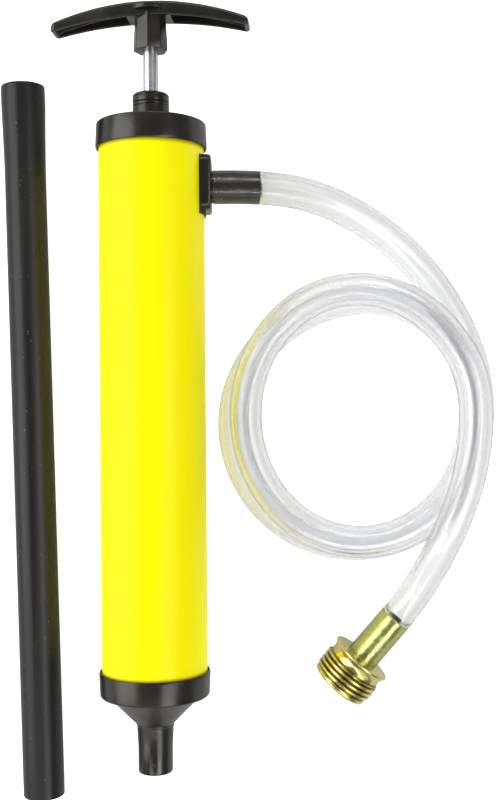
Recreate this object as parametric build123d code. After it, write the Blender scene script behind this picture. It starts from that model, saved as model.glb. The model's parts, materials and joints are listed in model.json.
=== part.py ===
"""Hand-operated fluid transfer pump, lying on a flat surface with its delivery hose and suction tube.

Millimetres, +Z up, the surface is z = 0. The pump's axis runs along Y with the handle towards +Y and
the outlet towards +X. The origin is under the middle of the pump and its suction tube.
"""

from build123d import *
from math import atan2, cos, degrees, hypot, pi, radians, sin, sqrt, tan
import os

FIT = 0.05  # radial clearance of a running or assembly fit

# ---- where the pump lies ----
AXIS_X = 10.3
CAP_RADIUS = 23.75  # at the open rim; the caps carry the pump, so this is also its axis height
AXIS_Z = CAP_RADIUS
CAP_END_RADIUS = 23.3  # the caps narrow a little towards their closed ends

# ---- barrel ----
BARREL_RADIUS = 22.5
BARREL_BORE = 20.5
BARREL_TOP = 116.1
BARREL_BOTTOM = -117.0

# ---- top cap and gland ----
TOP_RIM = 109.2
TOP_FACE = 119.8
TOP_UNDERSIDE = 117.2
BOSS_RADIUS = 7.75
BOSS_BORE = 5.75
BOSS_FLOOR = 118.4
BOSS_TOP = 128.6
GLAND_TOP = 132.7

# ---- bottom cap, cone and intake nozzle ----
BOTTOM_RIM = -112.6
BOTTOM_FLOOR = -120.2
BOTTOM_FACE = -123.0
CONE_TOP_RADIUS = 20.0
CONE_END = -134.8
NOZZLE_ROOT_RADIUS = 7.9
NOZZLE_RADIUS = 7.4
NOZZLE_STRAIGHT = -144.6
NOZZLE_TIP = -155.9
NOZZLE_BORE = 5.2
NOZZLE_ROUND = 1.4

# ---- foot valve ----
SEAT_TOP = -117.05
SEAT_BOTTOM = -119.15
FOOT_LIFT = 3.0
STEM_RADIUS = 1.5
FLAP_RADIUS = 9.2
FLAP_THICKNESS = 1.6
PORT_RADIUS = 1.9
PORT_CIRCLE = 6.2

# ---- piston and its ball valve, with the handle where it rests ----
PISTON_BOTTOM = -94.0
PISTON_SEAT = -82.0
PISTON_RADIUS = 20.2
CROWN_BOTTOM = -62.0
CROWN_TOP = -57.0
CROWN_RADIUS = 13.0
CAGE_RADIUS = 19.4
BALL_RADIUS = 7.0
BALL_SEAT_RADIUS = 5.5
SEAL_BOTTOM = -92.0
SEAL_TOP = -86.0
RING_TOP = -84.4
BUMPER_TOP = -53.4

# ---- rod and handle ----
ROD_RADIUS = 3.175
ROD_TOP = 163.0
ROD_BOTTOM = -66.4
HUB_BOTTOM = 151.2
HUB_FLATS = 13.6  # across the octagon's flats
HANDLE_TOP = 170.95
HANDLE_HALF_SPAN = 42.3
HANDLE_TURN = 5.0  # degrees about the rod, with the outlet side of the handle raised
ARCH_RADIUS = 117.0  # along the top of the handle
ARCH_LOWER_RADIUS = 165.0  # along its lower edge, so that the band is thinner at the tips
BAND_HEIGHT = 6.1
ARCH_WALL = 1.8
HUB_DEPTH = 6.5  # half of the handle's depth beside the hub
TIP_DEPTH = 5.6  # half of its depth at the tips
SIDE_WALL = 1.7
BOSS_BULGE = 7.8
BOSS_BOTTOM = 167.0
SOLID_HALF = 9.4  # half of the solid stretch between the handle's two channels
INSERT_RADIUS = 5.0
INSERT_BOTTOM = 154.5

# ---- outlet ----
OUTLET_Y = 93.0
SADDLE_FACE = 25.6  # from the pump's axis
SADDLE_LENGTH = 26.0
SADDLE_HALF_WIDTH = 9.6
GASKET = 0.8
BARB_END = 46.4
BARB_BORE = 3.4
OUTLET_BORE = 4.2

# ---- hose ----
HOSE_RADIUS = 7.0
HOSE_BORE = 5.0
HOSE_START = 26.4  # from the pump's axis

# Control points of the hose where it isn't coiled. Its layers lie a diameter apart on the coil.
LEAD_ROUTE = [
    (AXIS_X + HOSE_START, OUTLET_Y, AXIS_Z),
    (60.7, 93.3, 23.75),
    (85.7, 87.8, 21.0),
    (109.7, 75.5, 14.0),
    (129.7, 57.5, 8.2),
    (144.2, 35.0, 7.1),
    (152.7, 10.0, 7.1),
]
TAIL_ROUTE = [
    (145.5, 10.0, 34.6),
    (146.3, -13.0, 34.9),
    (142.0, -35.0, 34.9),
    (133.7, -56.0, 34.4),
    (122.4, -82.3, 19.0),  # straight from here on, over the barb of the fitting
    (108.5, -99.2, 16.6),
    (99.6, -109.9, 15.1),
]

# Outer shape of the coil: an oval ring, one layer pair high on the left and three high on the right.
COIL_CENTRE = (98.7, -6.0)
COIL_OUTER = (61.4, 64.0)
COIL_INNER = (40.6, 42.6)
COIL_LEFT_HEIGHT = 27.6
COIL_RIGHT_HEIGHT = 41.6

# ---- brass garden-hose fitting, 3/4 inch with 11.5 threads an inch ----
COLLAR_RADIUS = 14.0
COLLAR_LENGTH = 1.6
NECK_RADIUS = 12.1
NECK_END = 5.6
THREAD_RADIUS = 13.5
THREAD_ROOT = 12.4
THREAD_PITCH = 25.4 / 11.5
THREAD_CRESTS = 4
FITTING_LENGTH = 16.2
FITTING_MOUTH = 9.5
FITTING_BORE = 3.6
FITTING_BARB = 22.4

# ---- suction tube ----
TUBE_RADIUS = 8.9
TUBE_BORE = 6.9
BELL_RADIUS = 9.5
SOCKET_RADIUS = 7.6
SOCKET_LENGTH = 20.0
FLARE_LENGTH = 16.0
TUBE_LENGTH = 311.5
TUBE_TURN = 1.3  # degrees between the tube and the pump's axis, seen from above


def place(shape):
    """Move a shape made about the Y axis on to the pump's own axis."""
    return Pos(AXIS_X, 0, AXIS_Z) * shape


def lathe(*outline):
    """Revolve a closed outline of (radius, y) points about the Y axis."""
    return revolve(make_face(Polyline(*outline, close=True)), Axis.Y)


def ring(outer, inner, low, high):
    """Plain ring about the Y axis between two stations."""
    return lathe((inner, low), (outer, low), (outer, high), (inner, high))


def rod_between(radius, low, high):
    """Plain round bar about the Y axis between two stations."""
    return lathe((0, low), (radius, low), (radius, high), (0, high))


def round_holes(radius, circle, count, low, high):
    """Holes parallel to the Y axis, spread evenly on a circle about it."""
    hole = Pos(circle, 0, 0) * rod_between(radius, low, high)
    return [Rot(0, 360 * k / count, 0) * hole for k in range(count)]


# ------------------------------------------------------------------ pump body


def barrel():
    tube = ring(BARREL_RADIUS, BARREL_BORE, BARREL_BOTTOM, BARREL_TOP)
    hole = Pos(BARREL_RADIUS, OUTLET_Y, 0) * Rot(0, 90, 0) * Cylinder(OUTLET_BORE, 12)
    return place(tube - hole)


def top_cap():
    outline = [
        (BARREL_RADIUS + FIT, TOP_RIM),
        (CAP_RADIUS, TOP_RIM),
        (CAP_END_RADIUS, TOP_FACE),
        (BOSS_RADIUS, TOP_FACE),
        (BOSS_RADIUS, BOSS_TOP),
        (BOSS_BORE, BOSS_TOP),
        (BOSS_BORE, BOSS_FLOOR),
        (ROD_RADIUS + 0.4, BOSS_FLOOR),
        (ROD_RADIUS + 0.4, TOP_UNDERSIDE),
        (BARREL_RADIUS + FIT, TOP_UNDERSIDE),
    ]
    return place(lathe(*outline))


def top_gasket():
    return place(ring(BARREL_RADIUS - FIT, BARREL_BORE + 0.2, BARREL_TOP + FIT, TOP_UNDERSIDE - FIT))


def rod_guide_bush():
    return place(ring(BOSS_BORE - FIT, ROD_RADIUS + FIT, BOSS_FLOOR, BOSS_FLOOR + 2.9))


def rod_seal():
    return place(ring(BOSS_BORE - FIT, ROD_RADIUS + 0.03, BOSS_FLOOR + 2.95, BOSS_FLOOR + 5.6))


def seal_washer():
    return place(ring(BOSS_BORE - FIT, ROD_RADIUS + 0.2, BOSS_FLOOR + 5.65, BOSS_FLOOR + 6.5))


def gland_nut():
    spigot_end = BOSS_FLOOR + 6.55
    head = BOSS_TOP + FIT
    outline = [
        (ROD_RADIUS + FIT, spigot_end),
        (BOSS_BORE - FIT, spigot_end),
        (BOSS_BORE - FIT, head),
        (BOSS_RADIUS, head),
        (BOSS_RADIUS, GLAND_TOP - 0.6),
        (BOSS_RADIUS - 0.6, GLAND_TOP),
        (ROD_RADIUS + FIT, GLAND_TOP),
    ]
    return place(lathe(*outline))


def bottom_cap():
    tip_arc = NOZZLE_RADIUS - NOZZLE_ROUND
    wall = [
        (BARREL_RADIUS + FIT, BOTTOM_RIM),
        (CAP_RADIUS, BOTTOM_RIM),
        (CAP_END_RADIUS, BOTTOM_FACE),
        (CONE_TOP_RADIUS, BOTTOM_FACE),
        (NOZZLE_ROOT_RADIUS, CONE_END),
        (NOZZLE_RADIUS, NOZZLE_STRAIGHT),
        (NOZZLE_RADIUS, NOZZLE_TIP + NOZZLE_ROUND),
    ]
    inside = [
        (tip_arc, NOZZLE_TIP),
        (NOZZLE_BORE, NOZZLE_TIP),
        (NOZZLE_BORE, CONE_END + 1.5),
        (CONE_TOP_RADIUS - 2.3, BOTTOM_FLOOR),
        (BARREL_RADIUS + FIT, BOTTOM_FLOOR),
        (BARREL_RADIUS + FIT, BOTTOM_RIM),
    ]
    middle = NOZZLE_ROUND * cos(pi / 4)
    rounding = ThreePointArc(
        wall[-1],
        (tip_arc + middle, NOZZLE_TIP + NOZZLE_ROUND - middle),
        inside[0],
    )
    face = make_face([Polyline(*wall), rounding, Polyline(*inside)])
    return place(revolve(face, Axis.Y))


def bottom_gasket():
    return place(ring(BARREL_RADIUS - FIT, 18.2, BOTTOM_FLOOR, SEAT_BOTTOM - FIT))


def foot_valve_seat():
    plate = ring(BARREL_RADIUS - FIT, STEM_RADIUS + FIT, SEAT_BOTTOM, SEAT_TOP)
    ports = round_holes(PORT_RADIUS, PORT_CIRCLE, 6, SEAT_BOTTOM - 1, SEAT_TOP + 1)
    return place(plate - ports)


def outlet_port():
    height = SADDLE_FACE - 14.0
    block = Pos(14.0 + height / 2, OUTLET_Y, 0) * Box(height, SADDLE_LENGTH, 2 * SADDLE_HALF_WIDTH)
    block = fillet(block.edges().filter_by(Axis.X), 3.0)
    block = chamfer(block.faces().sort_by(Axis.X)[-1].outer_wire().edges(), 1.2)
    seat = rod_between(BARREL_RADIUS + GASKET, OUTLET_Y - 20, OUTLET_Y + 20)
    barb = Pos(0, OUTLET_Y, 0) * Rot(0, 0, -90) * barb_outline()
    passage = Pos(30, OUTLET_Y, 0) * Rot(0, 90, 0) * Cylinder(BARB_BORE, 60)
    return place(block - seat + barb - passage)


def barb_outline():
    """Barbed spigot along +Y from the saddle's face, with three shallow barbs."""
    start = SADDLE_FACE - 1.0
    first = HOSE_START + 3.0
    spacing = (BARB_END - first) / 3
    points = [(0, start), (HOSE_BORE, start), (HOSE_BORE, first)]
    for k in range(3):
        low = first + k * spacing
        points += [(HOSE_BORE + 0.25, low), (HOSE_BORE - 0.3, low + spacing)]
    points += [(0, BARB_END)]
    return lathe(*points)


def outlet_gasket():
    inner = BARREL_RADIUS + FIT
    outer = BARREL_RADIUS + GASKET - FIT
    shell = ring(outer, inner, OUTLET_Y - 20, OUTLET_Y + 20)
    pad = Pos(BARREL_RADIUS, OUTLET_Y, 0) * Box(12, SADDLE_LENGTH - 1.2, 2 * SADDLE_HALF_WIDTH - 1.2)
    hole = Pos(BARREL_RADIUS, OUTLET_Y, 0) * Rot(0, 90, 0) * Cylinder(OUTLET_BORE, 12)
    return place((shell & pad) - hole)


# ------------------------------------------------------------------ piston, rod and handle


def piston_body():
    groove = 17.0
    outline = [
        (BALL_SEAT_RADIUS, PISTON_BOTTOM),
        (PISTON_RADIUS, PISTON_BOTTOM),
        (PISTON_RADIUS, SEAL_BOTTOM - FIT),
        (groove, SEAL_BOTTOM - FIT),
        (groove, RING_TOP + FIT),
        (PISTON_RADIUS, RING_TOP + FIT),
        (PISTON_RADIUS, PISTON_SEAT),
        (BALL_SEAT_RADIUS, PISTON_SEAT),
    ]
    return place(lathe(*outline))


def cup_seal():
    lip = BARREL_BORE - 0.04
    outline = [
        (17.0 + FIT, SEAL_BOTTOM),
        (lip - 0.6, SEAL_BOTTOM),
        (lip, SEAL_TOP - 0.8),
        (lip, SEAL_TOP),
        (lip - 1.2, SEAL_TOP),
        (18.6, SEAL_BOTTOM + 2.0),
        (17.0 + FIT, SEAL_BOTTOM + 2.0),
    ]
    return place(lathe(*outline))


def backup_ring():
    return place(ring(BARREL_BORE - 0.15, 17.0 + FIT, SEAL_TOP + FIT, RING_TOP))


def piston_cage():
    """Open cage above the piston: a base ring, four posts and the crown that the rod hangs in."""
    base = ring(CAGE_RADIUS, BALL_RADIUS + 1.0, PISTON_SEAT + FIT, PISTON_SEAT + 2.6)
    crown = ring(CROWN_RADIUS, ROD_RADIUS + FIT, CROWN_BOTTOM, CROWN_TOP)
    tall = CROWN_TOP - PISTON_SEAT - 2.0
    post = Pos(11.0, (CROWN_TOP + PISTON_SEAT) / 2 + 0.5, 0) * Box(4.0, tall, 5.0)
    posts = [Rot(0, 90 * k + 45, 0) * post for k in range(4)]
    return place(base + crown + posts)


def piston_ball():
    centre = PISTON_SEAT + sqrt(BALL_RADIUS**2 - BALL_SEAT_RADIUS**2) + FIT
    return place(Pos(0, centre, 0) * Sphere(BALL_RADIUS))


def pump_rod():
    outline = [
        (0, ROD_BOTTOM),
        (ROD_RADIUS - 0.5, ROD_BOTTOM),
        (ROD_RADIUS, ROD_BOTTOM + 0.5),
        (ROD_RADIUS, ROD_TOP - 0.5),
        (ROD_RADIUS - 0.5, ROD_TOP),
        (0, ROD_TOP),
    ]
    return place(lathe(*outline))


def rod_end_nut():
    flats = 10.0
    prism = Rot(-90, 0, 0) * extrude(RegularPolygon(flats / 2, 6, major_radius=False), 4.0)
    nut = Pos(0, CROWN_BOTTOM - 0.2 - 4.0, 0) * prism
    return place(nut - rod_between(ROD_RADIUS, ROD_BOTTOM - 5, CROWN_BOTTOM + 5))


def rod_bumper():
    return place(ring(7.0, ROD_RADIUS, CROWN_TOP + 0.2, BUMPER_TOP))


def arch_face(top, bottom, half_span):
    """Curved band in the XY plane between two arcs that peak at the given heights, with square ends."""

    def arc(peak, radius):
        end_y = peak - radius + sqrt(radius**2 - half_span**2)
        return ThreePointArc((-half_span, end_y), (0, peak), (half_span, end_y))

    upper = arc(top, ARCH_RADIUS)
    lower = arc(bottom, ARCH_LOWER_RADIUS)
    sides = [Line(upper @ 0, lower @ 0), Line(upper @ 1, lower @ 1)]
    return make_face([upper, lower] + sides)


def taper_prism(inset, half_span):
    """The handle's outline seen along its height: deepest at the hub, narrow at the tips."""
    middle = HUB_DEPTH - inset
    end = TIP_DEPTH - inset
    flat = 9.0
    outline = [(flat, middle), (half_span, end), (half_span, -end), (flat, -middle)]
    outline += [(-x, z) for x, z in reversed(outline)]
    plane = Plane(origin=(0, 100, 0), x_dir=(1, 0, 0), z_dir=(0, 1, 0))
    return extrude(plane * make_face(Polyline(*outline, close=True)), 100)


def handle():
    lower = HANDLE_TOP - BAND_HEIGHT
    bar = extrude(arch_face(HANDLE_TOP, lower, HANDLE_HALF_SPAN), HUB_DEPTH, both=True)
    bar = bar & taper_prism(0, HANDLE_HALF_SPAN)
    bar = fillet(bar.edges().filter_by(Axis.Y, tolerance=1e-3), 1.2)
    inner_span = HANDLE_HALF_SPAN - SIDE_WALL
    channel = extrude(arch_face(HANDLE_TOP - ARCH_WALL, lower - 4, inner_span), HUB_DEPTH, both=True)
    channel = channel & taper_prism(SIDE_WALL, inner_span)
    channel = channel - Pos(0, HANDLE_TOP - 10, 0) * Box(2 * SOLID_HALF, 40, 40)
    octagon = RegularPolygon(HUB_FLATS / 2, 8, major_radius=False)
    hub_top = HANDLE_TOP - 3.0
    hub = Pos(0, hub_top, 0) * Rot(90, 0, 0) * extrude(octagon, hub_top - HUB_BOTTOM)
    bulge = rod_between(BOSS_BULGE, BOSS_BOTTOM, HANDLE_TOP + 2)
    bulge = bulge & extrude(arch_face(HANDLE_TOP - 0.3, HANDLE_TOP - 30, 20), 20, both=True)
    solid = bar - channel + hub + bulge
    solid = solid - rod_between(ROD_RADIUS + FIT, HUB_BOTTOM - 1, INSERT_BOTTOM + 1)
    solid = solid - rod_between(INSERT_RADIUS + FIT, INSERT_BOTTOM, ROD_TOP + 0.3)
    return place(Rot(0, -HANDLE_TURN, 0) * solid)


def handle_insert():
    return place(ring(INSERT_RADIUS, ROD_RADIUS, INSERT_BOTTOM + FIT, ROD_TOP))


# ------------------------------------------------------------------ foot valve


def foot_valve_flap():
    low = SEAT_TOP + 0.1
    return place(ring(FLAP_RADIUS, STEM_RADIUS, low, low + FLAP_THICKNESS))


def foot_valve_stem():
    head = SEAT_TOP + 0.1 + FLAP_THICKNESS
    end = SEAT_BOTTOM - FOOT_LIFT - 2.0
    outline = [(0, end), (STEM_RADIUS, end), (STEM_RADIUS, head), (3.2, head), (3.2, head + 0.8), (0, head + 0.8)]
    return place(lathe(*outline))


def foot_valve_clip():
    top = SEAT_BOTTOM - FOOT_LIFT - 0.1
    return place(ring(3.2, STEM_RADIUS, top - 0.9, top))


# ------------------------------------------------------------------ hose


def fillet_radii(points):
    """As large an arc at each corner as its two runs allow: 0.45 of the shorter over tan(half turn)."""
    radii = []
    for before, corner, after in zip(points, points[1:], points[2:]):
        run_in = Vector(*corner) - Vector(*before)
        run_out = Vector(*after) - Vector(*corner)
        turn = radians(run_in.get_angle(run_out))
        radii.append(0.45 * min(run_in.length, run_out.length) / tan(turn / 2))
    return radii


def hose_tube(name, points):
    """Hollow round tube that follows straight runs joined by tangent arcs."""
    radii = fillet_radii(points)
    path = FilletPolyline(*points, radius=radii)
    start = Plane(origin=points[0], z_dir=Vector(*points[1]) - Vector(*points[0]))
    section = start * (Circle(HOSE_RADIUS) - Circle(HOSE_BORE))
    tube = sweep(section, path=path)
    expected = pi * (HOSE_RADIUS**2 - HOSE_BORE**2) * path.length
    print(name, "radii", [round(r) for r in radii], "length", round(path.length, 1))
    print(name, "volume", round(tube.volume), "expected", round(expected))
    return tube


def hose_lead():
    return hose_tube("hose_lead", LEAD_ROUTE)


def hose_tail():
    return hose_tube("hose_tail", TAIL_ROUTE)


def hose_coil():
    """Outer shape of the coil: an oval ring with a top that slopes up to the right."""
    outline = Ellipse(*COIL_OUTER) - Ellipse(*COIL_INNER)
    block = Pos(*COIL_CENTRE, 0) * extrude(outline, COIL_RIGHT_HEIGHT)
    reach = COIL_OUTER[0]
    x = COIL_CENTRE[0]
    slope = [
        (x - reach - 1, COIL_LEFT_HEIGHT),
        (x + reach + 1, COIL_RIGHT_HEIGHT),
        (x + reach + 1, COIL_RIGHT_HEIGHT + 40),
        (x - reach - 1, COIL_RIGHT_HEIGHT + 40),
    ]
    cut = extrude(Plane.XZ * make_face(Polyline(*slope, close=True)), 200, both=True)
    return block - cut


def hose_fitting():
    """Brass fitting: collar, waist, four thread crests, plain end and a barb inside the hose."""
    points = [(FITTING_BORE, -FITTING_BARB)]
    points += [(HOSE_BORE - 0.4, -FITTING_BARB)]
    barbs = 4
    spacing = FITTING_BARB / barbs
    for k in range(barbs):
        low = -FITTING_BARB + (k + 1) * spacing
        points += [(HOSE_BORE + 0.25, low - 0.6), (HOSE_BORE - 0.3, low)]
    points += [(COLLAR_RADIUS - 0.5, 0), (COLLAR_RADIUS, 0.5), (COLLAR_RADIUS - 0.3, COLLAR_LENGTH)]
    points += [(NECK_RADIUS, COLLAR_LENGTH + 1.8), (NECK_RADIUS, NECK_END)]
    for k in range(THREAD_CRESTS):
        low = NECK_END + k * THREAD_PITCH
        points += [(THREAD_RADIUS, low + 0.45 * THREAD_PITCH), (THREAD_RADIUS, low + 0.65 * THREAD_PITCH)]
        points += [(THREAD_ROOT, low + THREAD_PITCH)]
    points += [(THREAD_ROOT, FITTING_LENGTH), (FITTING_MOUTH, FITTING_LENGTH)]
    points += [(FITTING_MOUTH, 6.0), (FITTING_BORE, 6.0)]
    end = Vector(*TAIL_ROUTE[-1])
    heading = end - Vector(*TAIL_ROUTE[-2])
    turned = revolve(Plane.XZ * make_face(Polyline(*points, close=True)), Axis.Z)
    return Plane(origin=end, z_dir=heading) * turned


# ------------------------------------------------------------------ suction tube


def suction_tube():
    """Plain tube with a belled socket, laid beside the pump so that both ends touch the surface."""
    flare = SOCKET_LENGTH + FLARE_LENGTH
    outline = [
        (SOCKET_RADIUS, 0),
        (BELL_RADIUS, 0),
        (BELL_RADIUS, -SOCKET_LENGTH * 0.4),
        (TUBE_RADIUS, -flare),
        (TUBE_RADIUS, -TUBE_LENGTH),
        (TUBE_BORE, -TUBE_LENGTH),
        (TUBE_BORE, -SOCKET_LENGTH - 3.0),
        (SOCKET_RADIUS, -SOCKET_LENGTH),
    ]
    tube = lathe(*outline)
    dip = degrees(atan2(BELL_RADIUS - TUBE_RADIUS, TUBE_LENGTH))
    tube = Rot(0, 0, TUBE_TURN) * Rot(dip, 0, 0) * tube
    box = tube.bounding_box()
    left = AXIS_X + BARB_END  # as far left of the origin as the outlet reaches right
    return Pos(-left - box.min.X, -HANDLE_TOP - box.min.Y, -box.min.Z) * tube


PARTS = [
    barrel,
    top_cap,
    top_gasket,
    rod_guide_bush,
    rod_seal,
    seal_washer,
    gland_nut,
    bottom_cap,
    bottom_gasket,
    foot_valve_seat,
    foot_valve_flap,
    foot_valve_stem,
    foot_valve_clip,
    piston_body,
    cup_seal,
    backup_ring,
    piston_cage,
    piston_ball,
    pump_rod,
    rod_end_nut,
    rod_bumper,
    handle,
    handle_insert,
    outlet_port,
    outlet_gasket,
    hose_lead,
    hose_coil,
    hose_tail,
    hose_fitting,
    suction_tube,
]


os.makedirs("parts", exist_ok=True)
for make in PARTS:
    export_step(make(), f"parts/{make.__name__}.step")
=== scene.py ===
"""Looks of the hand fluid transfer pump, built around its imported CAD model. Metres, +Z up."""

import json
import math

import bmesh
import bpy
from mathutils import Matrix, Vector


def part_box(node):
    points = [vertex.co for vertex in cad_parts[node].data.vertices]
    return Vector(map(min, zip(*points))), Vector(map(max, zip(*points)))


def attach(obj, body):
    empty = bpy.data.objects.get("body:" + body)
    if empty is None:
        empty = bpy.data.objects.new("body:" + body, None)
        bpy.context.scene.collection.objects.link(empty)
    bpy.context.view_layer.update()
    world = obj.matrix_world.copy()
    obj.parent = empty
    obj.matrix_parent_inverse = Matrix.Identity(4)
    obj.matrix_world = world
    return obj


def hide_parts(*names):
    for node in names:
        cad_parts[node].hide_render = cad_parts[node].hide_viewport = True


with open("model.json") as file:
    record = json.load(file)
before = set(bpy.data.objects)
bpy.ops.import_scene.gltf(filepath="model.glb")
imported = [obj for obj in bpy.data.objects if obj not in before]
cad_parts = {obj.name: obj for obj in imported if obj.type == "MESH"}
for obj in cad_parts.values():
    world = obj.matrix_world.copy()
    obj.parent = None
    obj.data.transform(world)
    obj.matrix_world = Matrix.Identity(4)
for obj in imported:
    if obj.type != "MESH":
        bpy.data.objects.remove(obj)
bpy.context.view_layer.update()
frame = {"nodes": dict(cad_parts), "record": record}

MM = 0.001
PUMP = "pump_body"
ROD = "rod_and_handle"
IMAGE_WIDTH = 497

barrel_low, barrel_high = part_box("barrel")
AXIS_X = (barrel_low.x + barrel_high.x) / 2
AXIS_Z = (barrel_low.z + barrel_high.z) / 2
PUMP_PLACE = Matrix.Translation((AXIS_X, 0, AXIS_Z))


# ---------------------------------------------------------------- camera

CAMERA_HEIGHT = 0.498
CAMERA_RIGHT_OF_PUMP = 0.0407
CAMERA_ROLL = math.radians(-0.43)
FOCAL_PIXELS = 1111.0
SENSOR = 36.0


def add_camera():
    data = bpy.data.cameras.new("camera")
    data.sensor_fit = "HORIZONTAL"
    data.sensor_width = SENSOR
    data.lens = FOCAL_PIXELS / IMAGE_WIDTH * SENSOR
    data.shift_y = 5.0 / IMAGE_WIDTH
    camera = bpy.data.objects.new("camera", data)
    camera.location = (AXIS_X + CAMERA_RIGHT_OF_PUMP, 0, CAMERA_HEIGHT)
    camera.rotation_euler = (0, 0, CAMERA_ROLL)
    bpy.context.scene.collection.objects.link(camera)
    bpy.context.scene.camera = camera


add_camera()


# ---------------------------------------------------------------- route of the hose

HOSE_DIAMETER = 0.014
HOSE_BORE = 0.010
LEAD_ROUTE = [
    (36.7, 93.0, 23.75),
    (60.7, 93.3, 23.75),
    (85.7, 87.8, 21.0),
    (109.7, 75.5, 14.0),
    (129.7, 57.5, 8.2),
    (144.2, 35.0, 7.1),
    (152.7, 10.0, 7.1),
]
TAIL_ROUTE = [
    (145.5, 10.0, 34.6),
    (146.3, -13.0, 34.9),
    (142.0, -35.0, 34.9),
    (133.7, -56.0, 34.4),
    (122.4, -82.3, 19.0),
    (108.5, -99.2, 16.6),
    (99.6, -109.9, 15.1),
]
# Each pass of the coil is an oval: its centre, half width, half length and height.
COIL_PASSES = [
    (98.1, -9.0, 54.6, 54.0, 7.1),
    (99.0, -4.6, 50.2, 55.6, 21.0),
    (98.0, -4.0, 48.0, 52.0, 35.0),
]
COIL_START = math.radians(-8)
POINTS_PER_TURN = 16
COIL_POINTS = 31
CHANGE_FROM = 0.62  # share of a turn after which a pass runs over into the next one
FITTING_END = Vector(TAIL_ROUTE[-1]) * MM
FITTING_HEADING = (Vector(TAIL_ROUTE[-1]) - Vector(TAIL_ROUTE[-2])).normalized()


# ---------------------------------------------------------------- material helpers


class Shader:
    """A Principled material and short ways to add the nodes that it needs."""

    def __init__(self, name, color, roughness, **sockets):
        self.material = bpy.data.materials.new(name)
        self.material.use_nodes = True
        self.tree = self.material.node_tree
        self.bsdf = self.tree.nodes["Principled BSDF"]
        self.bsdf.inputs["Base Color"].default_value = (*color, 1)
        self.bsdf.inputs["Roughness"].default_value = roughness
        for socket, value in sockets.items():
            self.bsdf.inputs[socket.replace("_", " ")].default_value = value
        self.coords = self.tree.nodes.new("ShaderNodeTexCoord")

    def link(self, source, target):
        self.tree.links.new(source, target)

    def noise(self, scale, stretch=(1, 1, 1), detail=3.0, rough=0.55):
        """Noise in the piece's own coordinates, whose scale counts cycles in a metre."""
        mapping = self.tree.nodes.new("ShaderNodeMapping")
        mapping.inputs["Scale"].default_value = stretch
        self.link(self.coords.outputs["Object"], mapping.inputs["Vector"])
        node = self.tree.nodes.new("ShaderNodeTexNoise")
        node.inputs["Scale"].default_value = scale
        node.inputs["Detail"].default_value = detail
        node.inputs["Roughness"].default_value = rough
        self.link(mapping.outputs["Vector"], node.inputs["Vector"])
        return node.outputs["Fac"]

    def about_axis(self, origin, heading):
        """Station along an axis and distance from it, both in metres."""
        results = []
        shift = self.tree.nodes.new("ShaderNodeVectorMath")
        shift.operation = "SUBTRACT"
        self.link(self.coords.outputs["Object"], shift.inputs[0])
        shift.inputs[1].default_value = origin
        for operation in ("DOT_PRODUCT", "CROSS_PRODUCT"):
            node = self.tree.nodes.new("ShaderNodeVectorMath")
            node.operation = operation
            self.link(shift.outputs["Vector"], node.inputs[0])
            node.inputs[1].default_value = heading
            results.append(node)
        size = self.tree.nodes.new("ShaderNodeVectorMath")
        size.operation = "LENGTH"
        self.link(results[1].outputs["Vector"], size.inputs[0])
        return results[0].outputs["Value"], size.outputs["Value"]

    def remap(self, value, low, high, to_low, to_high):
        node = self.tree.nodes.new("ShaderNodeMapRange")
        node.inputs["From Min"].default_value = low
        node.inputs["From Max"].default_value = high
        node.inputs["To Min"].default_value = to_low
        node.inputs["To Max"].default_value = to_high
        self.link(value, node.inputs["Value"])
        return node.outputs["Result"]

    def mix(self, factor, first, second):
        """Colour between two colours, or between a colour and another node's colour."""
        node = self.tree.nodes.new("ShaderNodeMix")
        node.data_type = "RGBA"
        self.link(factor, node.inputs["Factor"])
        for socket, value in ((node.inputs[6], first), (node.inputs[7], second)):
            if isinstance(value, tuple):
                socket.default_value = (*value, 1)
            else:
                self.link(value, socket)
        return node.outputs[2]

    def product(self, first, second):
        node = self.tree.nodes.new("ShaderNodeMath")
        node.operation = "MULTIPLY"
        self.link(first, node.inputs[0])
        self.link(second, node.inputs[1])
        return node.outputs[0]

    def colour(self, source):
        self.link(source, self.bsdf.inputs["Base Color"])

    def roughness(self, source):
        self.link(source, self.bsdf.inputs["Roughness"])

    def bump(self, source, distance, strength=1.0):
        """Height in metres; a second call stacks on the first."""
        node = self.tree.nodes.new("ShaderNodeBump")
        node.inputs["Distance"].default_value = distance
        node.inputs["Strength"].default_value = strength
        self.link(source, node.inputs["Height"])
        earlier = self.bsdf.inputs["Normal"].links
        if earlier:
            self.link(earlier[0].from_socket, node.inputs["Normal"])
        self.link(node.outputs["Normal"], self.bsdf.inputs["Normal"])


def yellow_plastic():
    """Extruded barrel: strong yellow, semi-gloss, faint draw lines along its length, and painted shade at both
    ends where the caps meet it.
    """
    s = Shader("yellow_plastic", (0.95, 0.87, 0.0), 0.33, Specular_IOR_Level=0.12)
    lines = s.noise(260, (1, 0.02, 1), 4.0)
    mottle = s.noise(22, (1, 0.4, 1), 2.0)
    station, _ = s.about_axis((0, 0, 0), (0, 1, 0))
    plain = s.mix(mottle, (0.93, 0.845, 0.0), (0.98, 0.90, 0.0))
    # Painted shade: the yellow turns dark olive over the last 1.7 mm under the top cap and the last 1.4 mm above
    # the bottom cap.
    cap_shaded = s.mix(s.remap(station, 107.6 * MM, 109.3 * MM, 0, 0.7), plain, (0.26, 0.22, 0.0))
    s.colour(s.mix(s.remap(station, -112.6 * MM, -111.2 * MM, 0.5, 0), cap_shaded, (0.26, 0.22, 0.0)))
    s.roughness(s.remap(lines, 0.3, 0.7, 0.27, 0.4))
    s.bump(lines, 0.00002)
    return s.material


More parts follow.
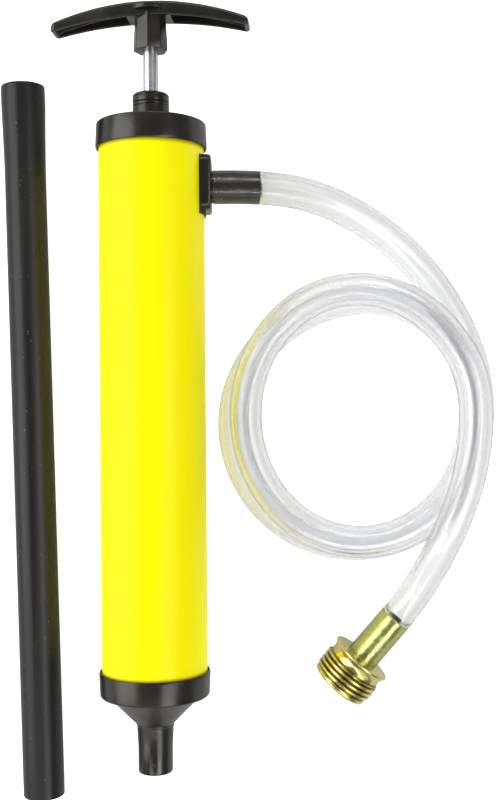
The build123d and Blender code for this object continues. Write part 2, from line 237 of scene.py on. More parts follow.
def black_plastic():
    """Injection-moulded caps, handle and outlet: warm black with a soft sheen and scuffs."""
    s = Shader("black_plastic", (0.007, 0.006, 0.005), 0.28, Specular_IOR_Level=0.62)
    s.bsdf.inputs["Specular Tint"].default_value = (1.0, 0.95, 0.86, 1)
    cloud = s.noise(70, (1, 1, 1), 3.0)
    grain = s.noise(1500, (1, 1, 1), 2.0)
    s.colour(s.mix(cloud, (0.004, 0.0037, 0.003), (0.012, 0.0105, 0.008)))
    s.roughness(s.remap(cloud, 0.3, 0.7, 0.20, 0.33))
    s.bump(grain, 0.000012)
    s.bump(cloud, 0.00009)
    return s.material


def tube_plastic():
    """Extruded suction tube: near black, satin, fine lines along it and pale dust specks."""
    s = Shader("tube_plastic", (0.006, 0.006, 0.006), 0.36, Specular_IOR_Level=0.35)
    lines = s.noise(420, (1, 0.015, 1), 4.0)
    specks = s.noise(900, (1, 0.6, 1), 1.0)
    dust = s.remap(specks, 0.745, 0.79, 0.0, 0.22)
    base = s.mix(lines, (0.004, 0.004, 0.004), (0.013, 0.012, 0.012))
    s.colour(s.mix(dust, base, (0.45, 0.45, 0.44)))
    s.roughness(s.remap(lines, 0.3, 0.7, 0.28, 0.46))
    s.bump(lines, 0.00003)
    return s.material


def chrome_rod():
    """Bright drawn bar: fine rings round it from polishing and faint stains."""
    s = Shader("chrome_rod", (0.72, 0.72, 0.73), 0.27, Metallic=1.0)
    rings = s.noise(240, (0.05, 1.2, 0.05), 2.0)
    stain = s.noise(130, (1, 0.6, 1), 3.0)
    s.colour(s.mix(s.remap(stain, 0.55, 0.75, 0, 1), (0.74, 0.74, 0.75), (0.52, 0.47, 0.43)))
    s.roughness(s.remap(rings, 0.3, 0.7, 0.25, 0.31))
    return s.material


def plain_steel():
    s = Shader("plain_steel", (0.62, 0.62, 0.63), 0.3, Metallic=1.0)
    brushed = s.noise(900, (0.1, 2, 0.1), 3.0)
    s.colour(s.mix(brushed, (0.50, 0.50, 0.52), (0.70, 0.70, 0.71)))
    s.roughness(s.remap(brushed, 0.3, 0.7, 0.24, 0.42))
    return s.material


def brass():
    """Machined brass: golden, duller and greener in patches, with fine turning marks and painted shade in the
    thread's grooves.
    """
    s = Shader("brass", (0.70, 0.63, 0.22), 0.22, Metallic=1.0)
    patches = s.noise(160, (1, 1, 1), 4.0)
    fine = s.noise(1400, (1, 1, 1), 2.0)
    clean = s.mix(s.remap(patches, 0.38, 0.62, 0, 1), (0.80, 0.71, 0.28), (0.58, 0.53, 0.16))
    station, radius = s.about_axis(FITTING_END, FITTING_HEADING)
    # Painted shade: inside the thread, the grooves near its root radius are darkened to a deep brown.
    deep = s.remap(radius, 12.5 * MM, 13.3 * MM, 1, 0)
    threaded = s.product(s.remap(station, 4.6 * MM, 5.4 * MM, 0, 1), s.remap(station, 14.0 * MM, 14.4 * MM, 1, 0))
    groove_shade = s.product(deep, threaded)
    groove_shaded = s.mix(groove_shade, clean, (0.16, 0.12, 0.03))
    s.colour(s.mix(s.remap(station, -0.6 * MM, -0.2 * MM, 1, 0), groove_shaded, (0.50, 0.54, 0.17)))
    s.roughness(s.remap(patches, 0.3, 0.7, 0.16, 0.32))
    s.bump(fine, 0.000012)
    s.bump(patches, 0.00008)
    return s.material


def rubber():
    s = Shader("black_rubber", (0.02, 0.02, 0.02), 0.7)
    grain = s.noise(1200, (1, 1, 1), 3.0)
    s.colour(s.mix(grain, (0.014, 0.014, 0.014), (0.03, 0.03, 0.03)))
    s.roughness(s.remap(grain, 0.3, 0.7, 0.6, 0.8))
    s.bump(grain, 0.00002)
    return s.material


def white_plastic():
    s = Shader("white_plastic", (0.8, 0.8, 0.76), 0.4)
    cloud = s.noise(90, (1, 1, 1), 3.0)
    s.colour(s.mix(cloud, (0.76, 0.755, 0.71), (0.84, 0.84, 0.80)))
    s.roughness(s.remap(cloud, 0.3, 0.7, 0.33, 0.5))
    s.bump(cloud, 0.00003)
    return s.material


def clear_vinyl():
    """Clear hose: slightly cloudy, with painted shade greying its edges; lamps shine through it on to the floor.
    """
    s = Shader("clear_vinyl", (0.93, 0.93, 0.945), 0.12, Transmission_Weight=1.0, IOR=1.48)
    cloud = s.noise(45, (1, 1, 1), 3.0)
    nodes = s.tree.nodes
    facing = nodes.new("ShaderNodeLayerWeight").outputs["Facing"]
    body = s.mix(cloud, (0.935, 0.935, 0.95), (0.985, 0.985, 0.99))
    # Painted shade: the colour greys where the surface turns away from the view, along the hose's edges.
    s.colour(s.mix(s.remap(facing, 0.55, 0.95, 0, 1), body, (0.74, 0.74, 0.76)))
    s.roughness(s.remap(cloud, 0.3, 0.7, 0.08, 0.20))
    s.bump(cloud, 0.0001)
    path = nodes.new("ShaderNodeLightPath")
    clear = nodes.new("ShaderNodeBsdfTransparent")
    clear.inputs["Color"].default_value = (0.93, 0.935, 0.93, 1)
    mixed = nodes.new("ShaderNodeMixShader")
    s.link(path.outputs["Is Shadow Ray"], mixed.inputs["Fac"])
    s.link(s.bsdf.outputs["BSDF"], mixed.inputs[1])
    s.link(clear.outputs["BSDF"], mixed.inputs[2])
    s.link(mixed.outputs["Shader"], nodes["Material Output"].inputs["Surface"])
    return s.material


MATERIALS = {
    "barrel_yellow": yellow_plastic(),
    "black_plastic": black_plastic(),
    "tube_plastic": tube_plastic(),
    "black_rubber": rubber(),
    "white_plastic": white_plastic(),
    "plain_steel": plain_steel(),
    "rod_chrome": chrome_rod(),
    "brass": brass(),
    "clear_hose": clear_vinyl(),
}


# ---------------------------------------------------------------- mesh helpers


def mesh_object(name, points, faces, slot):
    """A smooth mesh piece with the material of its slot, sharp only at edges over 40 degrees."""
    mesh = bpy.data.meshes.new(name)
    mesh.from_pydata([tuple(p) for p in points], [], faces)
    mesh.validate()
    work = bmesh.new()
    work.from_mesh(mesh)
    bmesh.ops.recalc_face_normals(work, faces=work.faces)
    work.to_mesh(mesh)
    work.free()
    mesh.shade_smooth()
    mesh.set_sharp_from_angle(angle=math.radians(40))
    mesh.materials.append(MATERIALS[slot])
    piece = bpy.data.objects.new(name, mesh)
    bpy.context.scene.collection.objects.link(piece)
    return piece


def finish_piece(piece, body, slot, *nodes):
    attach(piece, body)
    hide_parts(*nodes)
    return piece


def arc_corner(before, corner, after, radius, steps):
    """Points of an arc that rounds one corner of an outline."""
    to_before = (before - corner).normalized()
    to_after = (after - corner).normalized()
    half = to_before.angle(to_after) / 2
    if radius <= 0 or half > math.radians(88):
        return [corner]
    reach = min(radius / math.tan(half), 0.45 * (before - corner).length, 0.45 * (after - corner).length)
    radius = reach * math.tan(half)
    centre = corner + (to_before + to_after).normalized() * (radius / math.sin(half))
    start = corner + to_before * reach - centre
    end = corner + to_after * reach - centre
    turn = start.angle_signed(end)
    arc = []
    for k in range(steps + 1):
        angle = -turn * k / steps
        cosine = math.cos(angle)
        sine = math.sin(angle)
        arc.append(centre + Vector((start.x * cosine - start.y * sine, start.x * sine + start.y * cosine)))
    return arc


def rounded(outline, steps=4):
    """Closed outline of (radius, station, rounding) in millimetres, as 2-D points in metres."""
    corners = [Vector((r * MM, y * MM)) for r, y, _ in outline]
    points = []
    for k, (_, _, radius) in enumerate(outline):
        before = corners[k - 1]
        after = corners[(k + 1) % len(corners)]
        points += arc_corner(before, corners[k], after, radius * MM, steps)
    return points


def grid_faces(rows, columns, closed_rows=True):
    """Quads of a grid whose columns close on themselves, and its rows too when asked."""
    faces = []
    for i in range(rows if closed_rows else rows - 1):
        for j in range(columns):
            a = i * columns + j
            b = i * columns + (j + 1) % columns
            c = ((i + 1) % rows) * columns + (j + 1) % columns
            d = ((i + 1) % rows) * columns + j
            faces.append((a, b, c, d))
    return faces


def lathe(name, outline, slot, place, segments=96, steps=4):
    """Revolved ring. The outline is (radius, station, rounding), and place takes Y to the part's axis."""
    profile = rounded(outline, steps)
    points = []
    for r, y in profile:
        for k in range(segments):
            angle = 2 * math.pi * k / segments
            points.append(place @ Vector((r * math.cos(angle), y, r * math.sin(angle))))
    return mesh_object(name, points, grid_faces(len(profile), segments), slot)


def boolean(piece, tool, operation):
    """Cuts or joins exactly, and removes the tool."""
    modifier = piece.modifiers.new("cut", "BOOLEAN")
    modifier.operation = operation
    modifier.solver = "EXACT"
    modifier.object = tool
    bpy.context.view_layer.update()
    bpy.context.view_layer.objects.active = piece
    piece.select_set(True)
    bpy.ops.object.modifier_apply(modifier=modifier.name)
    piece.select_set(False)
    bpy.data.objects.remove(tool)
    piece.data.set_sharp_from_angle(angle=math.radians(40))


def stations(node):
    """Lowest and highest station of a node along Y and its largest radius, in millimetres."""
    low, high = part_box(node)
    return low.y / MM, high.y / MM, (high.x - low.x) / 2 / MM


# ---------------------------------------------------------------- hose


def smooth_step(value):
    value = min(1.0, max(0.0, value))
    return value * value * (3 - 2 * value)


def coil_points():
    """The coil's turns, clockwise seen from above, each pass running over into the next."""
    points = []
    for k in range(COIL_POINTS):
        angle = COIL_START - k * 2 * math.pi / POINTS_PER_TURN
        turn = -angle / (2 * math.pi)
        whole = int(turn)
        share = smooth_step((turn - whole - CHANGE_FROM) / (0.96 - CHANGE_FROM))
        here = COIL_PASSES[whole]
        after = COIL_PASSES[whole + 1]
        x, y, wide, long, height = [a + (b - a) * share for a, b in zip(here, after)]
        points.append((x + wide * math.cos(angle), y + long * math.sin(angle), height))
    return points


def hose_line():
    """The hose's centre line, read from its NURBS spline, as points about a millimetre apart."""
    route = LEAD_ROUTE + coil_points() + TAIL_ROUTE
    curve = bpy.data.curves.new("hose_route", "CURVE")
    curve.dimensions = "3D"
    spline = curve.splines.new("NURBS")
    spline.points.add(len(route) - 1)
    for point, place in zip(spline.points, route):
        point.co = (*(value * MM for value in place), 1)
    spline.order_u = 3
    spline.use_endpoint_u = True
    spline.resolution_u = 16
    holder = bpy.data.objects.new("hose_route", curve)
    line = bpy.data.meshes.new_from_object(holder)
    points = [v.co.copy() for v in line.vertices]
    bpy.data.objects.remove(holder)
    bpy.data.curves.remove(curve)
    bpy.data.meshes.remove(line)
    return points


def along(points):
    """Distance of each point from the first."""
    distances = [0.0]
    for a, b in zip(points, points[1:]):
        distances.append(distances[-1] + (b - a).length)
    return distances


BARB_REACH = 20.0 * MM
FITTING_REACH = 22.4 * MM
BARB_RADIUS = 5.1 * MM
BARB_RIDGE = 0.08 * MM
BARB_PITCH = 5.4 * MM


def barb_radius(depth):
    """Radius of a barbed spigot at a depth inside the hose's end: ridges that lean back."""
    share = (depth / BARB_PITCH) % 1.0
    return BARB_RADIUS + BARB_RIDGE * (share if share < 0.85 else (1 - share) / 0.15 * 0.85)


def hose_radii(distance, length):
    """Outer and inner radius of the hose, which swells a little where a barb fills its end."""
    outer = HOSE_DIAMETER / 2
    inner = HOSE_BORE / 2
    for depth, reach in ((distance, BARB_REACH), (length - distance, FITTING_REACH)):
        if depth < reach + 2 * MM:
            held = 1 - smooth_step((depth - reach) / (2 * MM))
            inner += (barb_radius(depth) - 1.0 * MM - inner) * held
            outer += 0.12 * MM * held
    return outer, inner


def hose():
    """Hollow tube that follows the centre line without twisting."""
    line = hose_line()
    distances = along(line)
    length = distances[-1]
    around = 32
    tangents = []
    for k in range(len(line)):
        a = line[max(0, k - 1)]
        b = line[min(len(line) - 1, k + 1)]
        tangents.append((b - a).normalized())
    side = tangents[0].cross(Vector((0, 0, 1))).normalized()
    rows_out = []
    rows_in = []
    for point, tangent, distance in zip(line, tangents, distances):
        side = (side - tangent * side.dot(tangent)).normalized()
        up = tangent.cross(side)
        outer, inner = hose_radii(distance, length)
        for radius, rows in ((outer, rows_out), (inner, rows_in)):
            row = []
            for k in range(around):
                angle = 2 * math.pi * k / around
                row.append(point + side * (radius * math.cos(angle)) + up * (radius * math.sin(angle)))
            rows.append(row)
    points = [p for row in rows_out + rows_in[::-1] for p in row]
    piece = mesh_object("clear_hose", points, grid_faces(len(rows_out) * 2, around), "clear_hose")
    return piece, line, length


# ---------------------------------------------------------------- brass fitting

THREAD_PITCH = 25.4 / 11.5
THREAD_DEPTH = 1.1


def thread_height(turns):
    """Share of the full thread depth: flat crest and root with sloping flanks."""
    share = turns % 1.0
    if share < 0.10:
        return 0.0
    if share < 0.34:
        return (share - 0.10) / 0.24
    if share < 0.72:
        return 1.0
    if share < 0.96:
        return (0.96 - share) / 0.24
    return 0.0


def fitting_outline():
    """(station, radius) of the brass fitting from its barb's end to its mouth, outside first."""
    outside = []
    reach = FITTING_REACH / MM
    outside.append((-reach, 3.9))
    outside.append((-reach + 0.15, 4.6))
    steps = 56
    for k in range(steps):
        depth = reach - 0.4 - (reach - 0.8) * k / (steps - 1)
        outside.append((-depth, barb_radius(depth * MM) / MM))
    outside += [(-0.3, 5.4), (-0.1, 8.6), (-0.05, 12.8)]
    outside += [(0.05, 13.2), (0.3, 13.5), (0.6, 13.6), (0.9, 13.55), (1.15, 13.35)]
    outside += [(1.5, 13.0), (2.0, 12.7), (2.7, 12.45), (3.5, 12.3), (4.3, 12.25), (5.0, 12.3)]
    return outside


def hose_fitting(line):
    """Brass end: a barb in the hose, a flared collar, a waist and a real helical thread."""
    end = line[-1]
    heading = (end - line[-6]).normalized()
    side = heading.cross(Vector((0, 0, 1))).normalized()
    up = side.cross(heading)
    thread_start = 5.2
    thread_end = 14.0
    length = 16.2
    plain = fitting_outline()
    stations_mm = [s for s, _ in plain]
    radii = [r for _, r in plain]
    threaded = len(plain)
    rows = 84
    for k in range(1, rows + 1):
        stations_mm.append(thread_start + (thread_end - thread_start) * k / rows)
        radii.append(12.35)
    tail = [(14.3, 12.5), (14.6, 12.75), (15.3, 12.8), (15.8, 12.6), (16.1, 12.2), (length, 11.8)]
    tail += [(length, 10.2), (16.0, 9.8), (15.4, 9.55), (9.0, 9.5), (8.2, 9.4), (8.0, 9.0), (8.0, 4.4)]
    tail += [(7.6, 3.75), (7.0, 3.6), (-22.1, 3.6)]
    around = 128
    points = []
    for index in range(len(stations_mm) + len(tail)):
        is_thread = threaded <= index < len(stations_mm)
        station, radius = (
            (stations_mm[index], radii[index]) if index < len(stations_mm) else tail[index - len(stations_mm)]
        )
        for k in range(around):
            angle = 2 * math.pi * k / around
            r = radius
            if is_thread:
                run_in = smooth_step((station - thread_start) / 1.2)
                run_out = smooth_step((thread_end - station) / 1.0)
                turns = (station - thread_start) / THREAD_PITCH + k / around
                r += THREAD_DEPTH * thread_height(turns) * run_in * run_out
            radial = side * math.cos(angle) + up * math.sin(angle)
            points.append(end + heading * (station * MM) + radial * (r * MM))
    rows_total = len(stations_mm) + len(tail)
    return mesh_object("brass_fitting", points, grid_faces(rows_total, around), "brass")


hose_piece, hose_path, hose_length = hose()
brass_piece = hose_fitting(hose_path)
finish_piece(hose_piece, PUMP, "clear_hose", "hose_lead", "hose_coil", "hose_tail")
finish_piece(brass_piece, PUMP, "brass", "hose_fitting")


# ---------------------------------------------------------------- barrel, caps, gland and rod


def barrel():
    low, high, radius = stations("barrel")
    bore = 20.5
    outline = [(bore, low, 0.3), (radius, low, 0.4), (radius, high, 0.4), (bore, high, 0.3)]
    piece = lathe("yellow_barrel", outline, "barrel_yellow", PUMP_PLACE, 144)
    return finish_piece(piece, PUMP, "barrel_yellow", "barrel")


def top_cap():
    low, high, radius = stations("top_cap")
    plate = 119.8
    end_radius = 23.3
    ceiling = 117.2
    outline = [
        (22.55, low + 1.2, 0),
        (23.05, low, 0.15),
        (radius - 0.3, low, 0.2),
        (radius, low + 0.7, 0.5),
        (radius - 0.12, low + 3.0, 1.0),
        (end_radius, plate, 0.55),
        (8.2, plate, 0.5),
        (7.75, plate + 0.6, 0.3),
        (7.75, 126.85, 0.1),
        (7.4, 127.0, 0.1),
        (7.4, 127.3, 0.1),
        (7.72, 127.45, 0.12),
        (7.72, high - 0.2, 0.15),
        (7.5, high, 0.1),
        (5.75, high, 0.2),
        (5.75, 118.4, 0.2),
        (3.6, 118.4, 0.2),
        (3.6, ceiling, 0.2),
        (22.55, ceiling, 0.2),
    ]
    piece = lathe("top_cap_shell", outline, "black_plastic", PUMP_PLACE, 144)
    return finish_piece(piece, PUMP, "black_plastic", "top_cap")


def gland_nut():
    low, high, radius = stations("gland_nut")
    seat = 128.65
    hole = 3.225
    outline = [
        (hole, low, 0.1),
        (5.7, low, 0.2),
        (5.7, seat, 0.1),
        (radius - 0.3, seat, 0.1),
        (radius, seat + 0.35, 0.2),
        (radius, high - 1.9, 0.2),
        (radius - 0.25, high - 1.7, 0.1),
        (radius - 0.25, high - 1.4, 0.1),
        (radius, high - 1.2, 0.15),
        (radius, high - 0.7, 0.4),
        (radius - 0.7, high, 0.4),
        (hole + 0.5, high, 0.3),
        (hole, high - 0.5, 0.3),
    ]
    piece = lathe("gland_nut_shell", outline, "black_plastic", PUMP_PLACE, 96)
    return finish_piece(piece, PUMP, "black_plastic", "gland_nut")


def gate_mark():
    """Small round pip left by the mould on the front of the nozzle, near its tip."""
    place = Matrix.Translation((AXIS_X + 0.4 * MM, -151.2 * MM, AXIS_Z))
    outline = [(0.01, 6.8, 0), (0.9, 6.8, 0), (0.8, 7.8, 0.4), (0.01, 7.9, 0)]
    return lathe("gate_mark", outline, "black_plastic", place @ Matrix.Rotation(math.pi / 2, 4, "X"), 16)


def bottom_cap():
    low, high, radius = stations("bottom_cap")
    face = -123.0
    outline = [
        (22.55, high - 1.2, 0),
        (22.55, -120.2, 0.2),
        (17.7, -120.2, 0.5),
        (5.2, -133.3, 1.0),
        (5.2, low + 0.4, 0.4),
        (5.6, low, 0.3),
        (7.4, low, 1.4),
        (7.4, -144.6, 6.0),
        (7.85, -136.0, 0.3),
        (8.1, -135.7, 0.15),
        (8.1, -135.1, 0.3),
        (19.9, face - 0.1, 0.5),
        (22.9, face, 0.5),
        (23.3, face + 0.6, 0.6),
        (radius - 0.05, high - 0.9, 0.6),
        (radius - 0.35, high, 0.3),
        (23.05, high, 0.15),
    ]
    piece = lathe("bottom_cap_shell", outline, "black_plastic", PUMP_PLACE, 144)
    boolean(piece, gate_mark(), "UNION")
    return finish_piece(piece, PUMP, "black_plastic", "bottom_cap")


def pump_rod():
    low, high, radius = stations("pump_rod")
    outline = [
        (0.01, low, 0),
        (radius - 0.5, low, 0.3),
        (radius, low + 0.5, 0.3),
        (radius, high - 0.5, 0.3),
        (radius - 0.5, high, 0.3),
        (0.01, high, 0),
    ]
    piece = lathe("bright_rod", outline, "rod_chrome", PUMP_PLACE, 64)
    return finish_piece(piece, ROD, "rod_chrome", "pump_rod")


# ---------------------------------------------------------------- outlet port


def outlet_port():
    """Saddle pad with rounded corners that hugs the barrel, and the spigot inside the hose's end."""
    low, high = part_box("outlet_port")
    middle = Vector((AXIS_X, (low.y + high.y) / 2, AXIS_Z))
    half_long = (high.y - low.y) / 2
    raised = 1.0 * MM  # the pad reaches a little further above the spigot than below it
    half_wide = (high.z - low.z) / 2
    face = 25.6 * MM
    back = 23.3 * MM
    across = 12
    corner = 3.4 * MM
    ring = []
    for quarter, (sy, sz) in enumerate(((1, 1), (-1, 1), (-1, -1), (1, -1))):
        for k in range(across + 1):
            angle = math.pi / 2 * (quarter + k / across)
            centre_y = raised + sy * (half_long - 1.2 * MM - corner)
            centre_z = sz * (half_wide - corner)
            ring.append((centre_y + corner * math.cos(angle), centre_z + corner * math.sin(angle)))
    # rows from the saddle's curved back, round its edge, to the middle of its face
    shapes = [(None, 1.0), (1.3, 1.0), (0.6, 0.985), (0.12, 0.95), (0.0, 0.90), (0.0, 0.45)]
    points = []
    for below_face, scale in shapes:
        for y, z in ring:
            z *= scale
            x = math.sqrt(back * back - z * z) if below_face is None else face - below_face * MM
            points.append(middle + Vector((x, raised + (y - raised) * scale, z)))
    columns = len(ring)
    faces = grid_faces(len(shapes), columns, closed_rows=False)
    faces.append(tuple(range(columns))[::-1])
    faces.append(tuple(range((len(shapes) - 1) * columns, len(shapes) * columns)))
    piece = mesh_object("outlet_port_shell", points, faces, "black_plastic")
    spigot_place = Matrix.Translation(middle) @ Matrix.Rotation(math.radians(-90), 4, "Z")
    reach = BARB_REACH / MM
    start = face / MM
    hose_from = 26.4
    outline = [(3.4, start - 1.5, 0), (6.9, start - 1.5, 0)]
    outline += [(6.9, hose_from - 0.1, 0), (5.2, hose_from + 0.1, 0)]
    steps = 48
    for k in range(steps):
        depth = 0.3 + (reach - 0.9) * k / (steps - 1)
        outline.append((barb_radius(depth * MM) / MM, hose_from + depth, 0))
    outline += [(4.7, hose_from + reach - 0.1, 0), (4.2, hose_from + reach, 0), (3.4, hose_from + reach, 0)]
    spigot = lathe("spigot", outline, "black_plastic", spigot_place, 64)
    boolean(piece, spigot, "UNION")
    return finish_piece(piece, PUMP, "black_plastic", "outlet_port")


# ---------------------------------------------------------------- handle

ARCH_TOP = 117.0 * MM  # radius along the top of the handle
ARCH_LOW = 165.0 * MM  # radius along its lower edge
BAND_HEIGHT = 6.1 * MM
HALF_SPAN = 42.3 * MM
SOLID_HALF = 9.4 * MM
HANDLE_TURN = math.radians(-5.0)
HANDLE_PLACE = PUMP_PLACE @ Matrix.Rotation(HANDLE_TURN, 4, "Y")


def handle_section(height, depth, channel, wall, roof):
    """Closed section of the bar as (depth, height): rounded outside, with a channel cut from below."""
    points = []

    def add_arc(across, down, radius, first, last, steps):
        for k in range(steps + 1):
            angle = math.radians(first + (last - first) * k / steps)
            points.append((across + radius * math.sin(angle), down + radius * math.cos(angle)))

    outer_round = min(1.3 * MM, height * 0.45)
    rim = min(0.65 * MM, height * 0.25)
    add_arc(depth - outer_round, -outer_round, outer_round, 0, 90, 5)
    add_arc(depth - rim, rim - height, rim, 90, 180, 3)
    inner = depth - wall
    floor = -height + (height - roof) * channel
    lip = 0.5 * MM * min(1.0, channel * 4)
    fillet = 0.7 * MM * min(1.0, channel)
    for k in range(4):
        angle = math.radians(90 * k / 3)
        points.append((inner + lip - lip * math.sin(angle), -height + lip * (1 - math.cos(angle))))
    for k in range(4):
        angle = math.radians(90 * k / 3)
        points.append((inner - fillet * (1 - math.cos(angle)), floor - fillet * (1 - math.sin(angle))))
    return points + [(-across, down) for across, down in reversed(points)]


def handle_bar(peak):
    """Arched bar as one grid of sections from tip to tip, thinner and narrower towards the tips."""
    wall = 1.5 * MM
    roof = 1.8 * MM
    shares = {round(math.cos(math.pi * k / 56), 6) for k in range(57)}
    for offset in (0.0, 0.25, 0.6, 1.1, 1.8):
        for place in (HALF_SPAN - wall - offset * MM, SOLID_HALF + offset * MM):
            shares.update((place / HALF_SPAN, -place / HALF_SPAN))
    rows = []
    for share in sorted(shares):
        x = share * HALF_SPAN
        from_tip = HALF_SPAN - abs(x)
        top = peak - ARCH_TOP + math.sqrt(ARCH_TOP**2 - x**2)
        low = peak - BAND_HEIGHT - ARCH_LOW + math.sqrt(ARCH_LOW**2 - x**2)
        taper = max(0.0, (abs(x) - SOLID_HALF) / (HALF_SPAN - SOLID_HALF))
        depth = (6.5 - 0.9 * taper) * MM
        rounding = math.sqrt(max(0.0, 1 - max(0.0, 1 - from_tip / (2.0 * MM)) ** 2))
        depth -= 1.4 * MM * (1 - rounding)
        trim = 0.9 * MM * (1 - rounding)
        into = min(from_tip - wall, abs(x) - SOLID_HALF)
        channel = smooth_step(into / (0.9 * MM)) if into > 0 else 0.0
        section = handle_section(top - low - 2 * trim, depth, channel, wall, roof)
        rows.append([HANDLE_PLACE @ Vector((x, top - trim + down, across)) for across, down in section])
    columns = len(rows[0])
    points = [p for row in rows for p in row]
    faces = grid_faces(len(rows), columns, closed_rows=False)
    faces.append(tuple(range(columns))[::-1])
    faces.append(tuple(range((len(rows) - 1) * columns, len(rows) * columns)))
    return mesh_object("t_handle", points, faces, "black_plastic")


def octagonal_hub(low, high):
    """Octagonal hub with rounded edges, corners in line with the arms, slimmer towards its boss."""
    flats = 13.6 / 2
    corner_round = 0.6
    shape = [(low, -0.45), (low + 0.12, -0.12), (low + 0.45, 0.0), (low + 3.0, 0.0), (high, -0.75)]
    rows = []
    for station, grow in shape:
        row = []
        for k in range(8):
            middle = math.radians(45 * k)
            centre = (flats + grow - corner_round) / math.cos(math.radians(22.5))
            for j in range(5):
                swing = middle + math.radians(22.5 * (j / 2 - 1))
                x = centre * math.cos(middle) + corner_round * math.cos(swing)
                z = centre * math.sin(middle) + corner_round * math.sin(swing)
                row.append(HANDLE_PLACE @ Vector((x * MM, station * MM, z * MM)))
        rows.append(row)
    columns = len(rows[0])
    points = [p for row in rows for p in row]
    faces = grid_faces(len(rows), columns, closed_rows=False)
    faces.append(tuple(range(columns))[::-1])
    faces.append(tuple(range((len(rows) - 1) * columns, len(rows) * columns)))
    return mesh_object("hub", points, faces, "black_plastic")


def bar_about_axis(name, radius, low, high, place, dome=0.0):
    outline = [(0.01, low, 0), (radius, low, 0.25), (radius, high, dome), (0.01, high, 0)]
    return lathe(name, outline, "black_plastic", place, 64, 6)


def handle():
    low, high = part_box("handle")
    bottom = low.y / MM
    peak = high.y / MM
    bar = handle_bar(high.y)
    boolean(bar, octagonal_hub(bottom, 167.3), "UNION")
    boolean(bar, bar_about_axis("boss", 9.0, 167.4, peak - 1.25, PUMP_PLACE, 0.7), "UNION")
    boolean(bar, bar_about_axis("bore", 3.23, bottom - 2, 154.6, PUMP_PLACE), "DIFFERENCE")
    boolean(bar, bar_about_axis("socket", 5.05, 154.5, 163.3, PUMP_PLACE), "DIFFERENCE")
    return finish_piece(bar, ROD, "black_plastic", "handle")


# ---------------------------------------------------------------- suction tube


def suction_tube():
    """Plain tube with a belled mouth, laid along its CAD node."""
    socket = next(m for m in frame["record"]["mounts"] if m["name"] == "tube_socket")
    axis = Vector(socket["axis"]).normalized()
    mouth = Vector(socket["pos_m"]) + axis * (10 * MM)
    side = axis.cross(Vector((0, 0, 1))).normalized()
    up = side.cross(axis)
    place = Matrix.Translation(mouth) @ Matrix((side, axis, up)).transposed().to_4x4()
    outline = [
        (7.6, 0.0, 0.4),
        (9.3, 0.0, 0.5),
        (9.5, -0.8, 0.4),
        (9.5, -8.0, 9.0),
        (9.2, -20.0, 20.0),
        (8.9, -36.0, 20.0),
        (8.9, -311.0, 0.3),
        (8.6, -311.5, 0.3),
        (6.9, -311.5, 0.3),
        (6.9, -23.0, 1.0),
        (7.6, -20.0, 1.0),
    ]
    piece = lathe("black_suction_tube", outline, "tube_plastic", place, 96, 6)
    return finish_piece(piece, "suction_tube", "tube_plastic", "suction_tube")


barrel()
top_cap()
gland_nut()
bottom_cap()
pump_rod()
outlet_port()
handle()
suction_tube()


# ---------------------------------------------------------------- carried-over CAD pieces

REPLACED = {"barrel", "top_cap", "gland_nut", "bottom_cap", "pump_rod", "outlet_port", "handle"}
REPLACED |= {"suction_tube", "hose_lead", "hose_coil", "hose_tail", "hose_fitting"}


def dress_cad_nodes():
    slots = {part["node"]: part["material_slot"] for part in frame["record"]["subparts"]}
    for name, node in frame["nodes"].items():
        if name not in REPLACED:
            node.data.materials.clear()
            node.data.materials.append(MATERIALS[slots[name]])


dress_cad_nodes()


# ---------------------------------------------------------------- floor and light


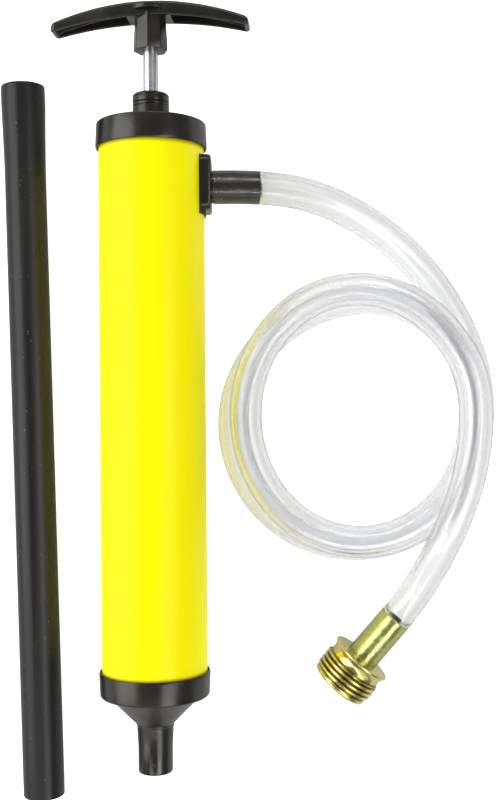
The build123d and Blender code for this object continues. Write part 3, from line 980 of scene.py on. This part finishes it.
def floor():
    """White light-table floor, glowing evenly; mirror-like reflections see it as a dimmer grey."""
    size = 4.0
    corners = [(-size, -size, 0), (size, -size, 0), (size, size, 0), (-size, size, 0)]
    mesh = bpy.data.meshes.new("floor")
    mesh.from_pydata(corners, [], [(0, 1, 2, 3)])
    plain = bpy.data.materials.new("floor_white")
    plain.use_nodes = True
    tree = plain.node_tree
    surface = tree.nodes["Principled BSDF"]
    surface.inputs["Roughness"].default_value = 0.9
    surface.inputs["Specular IOR Level"].default_value = 0.0
    surface.inputs["Emission Color"].default_value = (1, 1, 1, 1)
    path = tree.nodes.new("ShaderNodeLightPath")
    white = (0.92, 0.92, 0.92, 1)
    for ray, value in (("Is Glossy Ray", 0.62), ("Is Transmission Ray", 0.70)):
        shade = tree.nodes.new("ShaderNodeMix")
        shade.data_type = "RGBA"
        tree.links.new(path.outputs[ray], shade.inputs["Factor"])
        if isinstance(white, tuple):
            shade.inputs[6].default_value = white
        else:
            tree.links.new(white, shade.inputs[6])
        shade.inputs[7].default_value = (value, value, value, 1)
        white = shade.outputs[2]
    tree.links.new(white, surface.inputs["Base Color"])
    glow = tree.nodes.new("ShaderNodeMapRange")
    glow.inputs["To Min"].default_value = 0.7
    glow.inputs["To Max"].default_value = 0.06
    tree.links.new(path.outputs["Is Glossy Ray"], glow.inputs["Value"])
    tree.links.new(glow.outputs["Result"], surface.inputs["Emission Strength"])
    mesh.materials.append(plain)
    piece = bpy.data.objects.new("floor", mesh)
    bpy.context.scene.collection.objects.link(piece)


def softbox(name, place, size, power):
    data = bpy.data.lights.new(name, "AREA")
    data.shape = "RECTANGLE"
    data.size, data.size_y = size
    data.energy = power
    lamp = bpy.data.objects.new(name, data)
    lamp.location = place
    target = Vector((AXIS_X + CAMERA_RIGHT_OF_PUMP, 0, 0))
    lamp.rotation_euler = (target - Vector(place)).to_track_quat("-Z", "Y").to_euler()
    bpy.context.scene.collection.objects.link(lamp)


def lighting():
    world = bpy.data.worlds.new("studio")
    world.use_nodes = True
    background = world.node_tree.nodes["Background"]
    background.inputs["Color"].default_value = (1, 1, 1, 1)
    background.inputs["Strength"].default_value = 0.2
    bpy.context.scene.world = world
    softbox("left_softbox", (-0.90, 0.05, 0.62), (1.3, 0.95), 11.5)
    softbox("right_softbox", (0.72, -0.22, 0.95), (1.3, 0.55), 5.8)
    softbox("head_softbox", (0.05, 1.0, 0.7), (1.2, 0.6), 1.6)
    softbox("foot_softbox", (0.05, -1.0, 0.7), (1.2, 0.9), 2.2)
    softbox("head_strip", (0.05, 0.95, 0.72), (1.4, 0.06), 2.8)
    softbox("foot_strip", (0.05, -0.75, 0.95), (1.4, 0.06), 2.6)
    bpy.context.scene.view_settings.view_transform = "Standard"


floor()
lighting()
